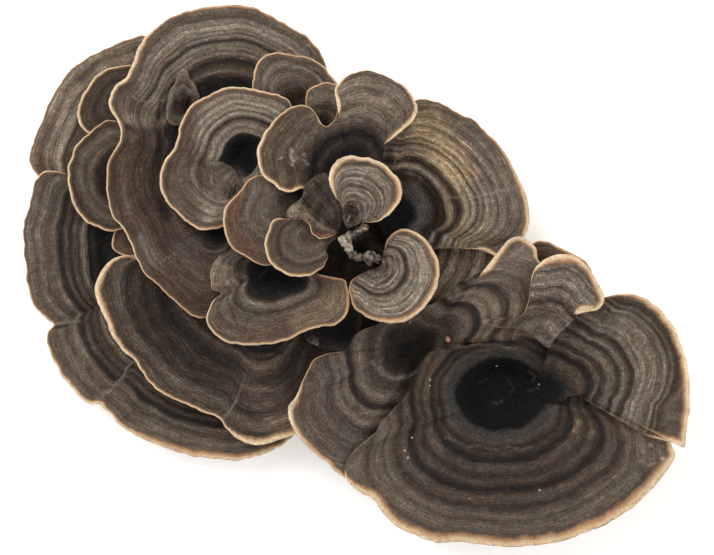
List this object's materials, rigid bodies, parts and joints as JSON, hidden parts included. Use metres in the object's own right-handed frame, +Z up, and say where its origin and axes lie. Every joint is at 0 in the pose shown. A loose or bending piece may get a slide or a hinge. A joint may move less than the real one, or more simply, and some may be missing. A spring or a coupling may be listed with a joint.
{
  "type": "turkey tail fungus",
  "caption": "Rosette of overlapping turkey tail brackets with banded brown and grey tops and cream margins, cut off flat underneath.",
  "frame": {"origin": "on the flat cut face under the base, where the cluster grew on the wood, near the middle of the rosette", "axes": "+Z up out of the cut, towards the banded tops of the caps; +X along the cluster's length, towards the lobe that stands furthest out; +Y across it, towards the largest upper cap"},
  "size_m": [0.16, 0.1297, 0.038],
  "materials": {
    "base": "dark matt fused tissue, pale tan on the flat cut underneath",
    "far_left_cap": "matt velvety grey-brown bands, thin brown edge, cream pores below",
    "lower_left_cap": "matt velvety grey-brown bands, tan-orange margin, cream pores below",
    "small_left_cap": "matt velvety dark brown bands, cream margin, cream pores below",
    "tiny_left_cap": "matt velvety red-brown, cream margin, cream pores below",
    "left_ear_cap": "matt velvety dark brown bands, cream margin, cream pores below",
    "wide_lower_cap": "matt velvety very dark brown bands, wide cream margin, cream pores below",
    "dark_tucked_cap": "matt near-black brown, cream pores below",
    "under_right_cap": "matt velvety grey-brown bands, cream pores below",
    "tan_right_cap": "matt velvety olive-tan and brown bands, orange-cream margin, cream pores below",
    "back_right_cap": "matt dark brown, orange margin, cream pores below",
    "fan_lobed_cap": "matt velvety brown and black bands, cream-orange margin, cream pores below",
    "funnel_cap": "matt velvety brown bands round a black hollow, tan-orange margin, cream pores below",
    "far_right_cap": "matt velvety grey-brown bands, orange-cream margin, cream pores below",
    "tongue_cap": "matt velvety grey-brown bands, cream margin, cream pores below",
    "big_upper_cap": "matt velvety dark brown and grey bands, thin tan margin, cream pores below",
    "upper_back_cap": "matt velvety grey-brown bands, thin tan margin, cream pores below",
    "upper_middle_cap": "matt velvety grey-brown bands round a black hollow, cream margin, cream pores below",
    "tucked_cap": "matt tan-olive with a dark band, cream pores below",
    "knobbly_lower_cap": "matt velvety grey-brown, near-black at the hub, cream and orange-tan margin, cream pores below",
    "red_brown_cap": "matt velvety red-brown, orange and cream margin, cream pores below",
    "round_middle_cap": "matt velvety brown, cream margin, cream pores below",
    "twin_lobed_cap": "matt velvety, one dark brown and one pale grey lobe, cream margin, cream pores below",
    "kidney_cap": "matt velvety pale grey with fine bands, cream margin, cream pores below",
    "knobbly_centre_cap": "matt dark brown with pale knobs and a pink-brown lip, cream pores below",
    "bud_cluster": "matt pale grey-tan",
    "top_centre_cap": "matt velvety pale grey with fine bands, cream margin, cream pores below"
  },
  "bodies": {
    "root": {"base": "base", "far_left_cap": "far_left_cap", "lower_left_cap": "lower_left_cap", "small_left_cap": "small_left_cap", "tiny_left_cap": "tiny_left_cap", "left_ear_cap": "left_ear_cap", "wide_lower_cap": "wide_lower_cap", "dark_tucked_cap": "dark_tucked_cap", "under_right_cap": "under_right_cap", "tan_right_cap": "tan_right_cap", "back_right_cap": "back_right_cap", "fan_lobed_cap": "fan_lobed_cap", "funnel_cap": "funnel_cap", "far_right_cap": "far_right_cap", "tongue_cap": "tongue_cap", "big_upper_cap": "big_upper_cap", "upper_back_cap": "upper_back_cap", "upper_middle_cap": "upper_middle_cap", "tucked_cap": "tucked_cap", "knobbly_lower_cap": "knobbly_lower_cap", "red_brown_cap": "red_brown_cap", "round_middle_cap": "round_middle_cap", "twin_lobed_cap": "twin_lobed_cap", "kidney_cap": "kidney_cap", "knobbly_centre_cap": "knobbly_centre_cap", "bud_cluster": "bud_cluster", "top_centre_cap": "top_centre_cap"}
  },
  "joints": []
}
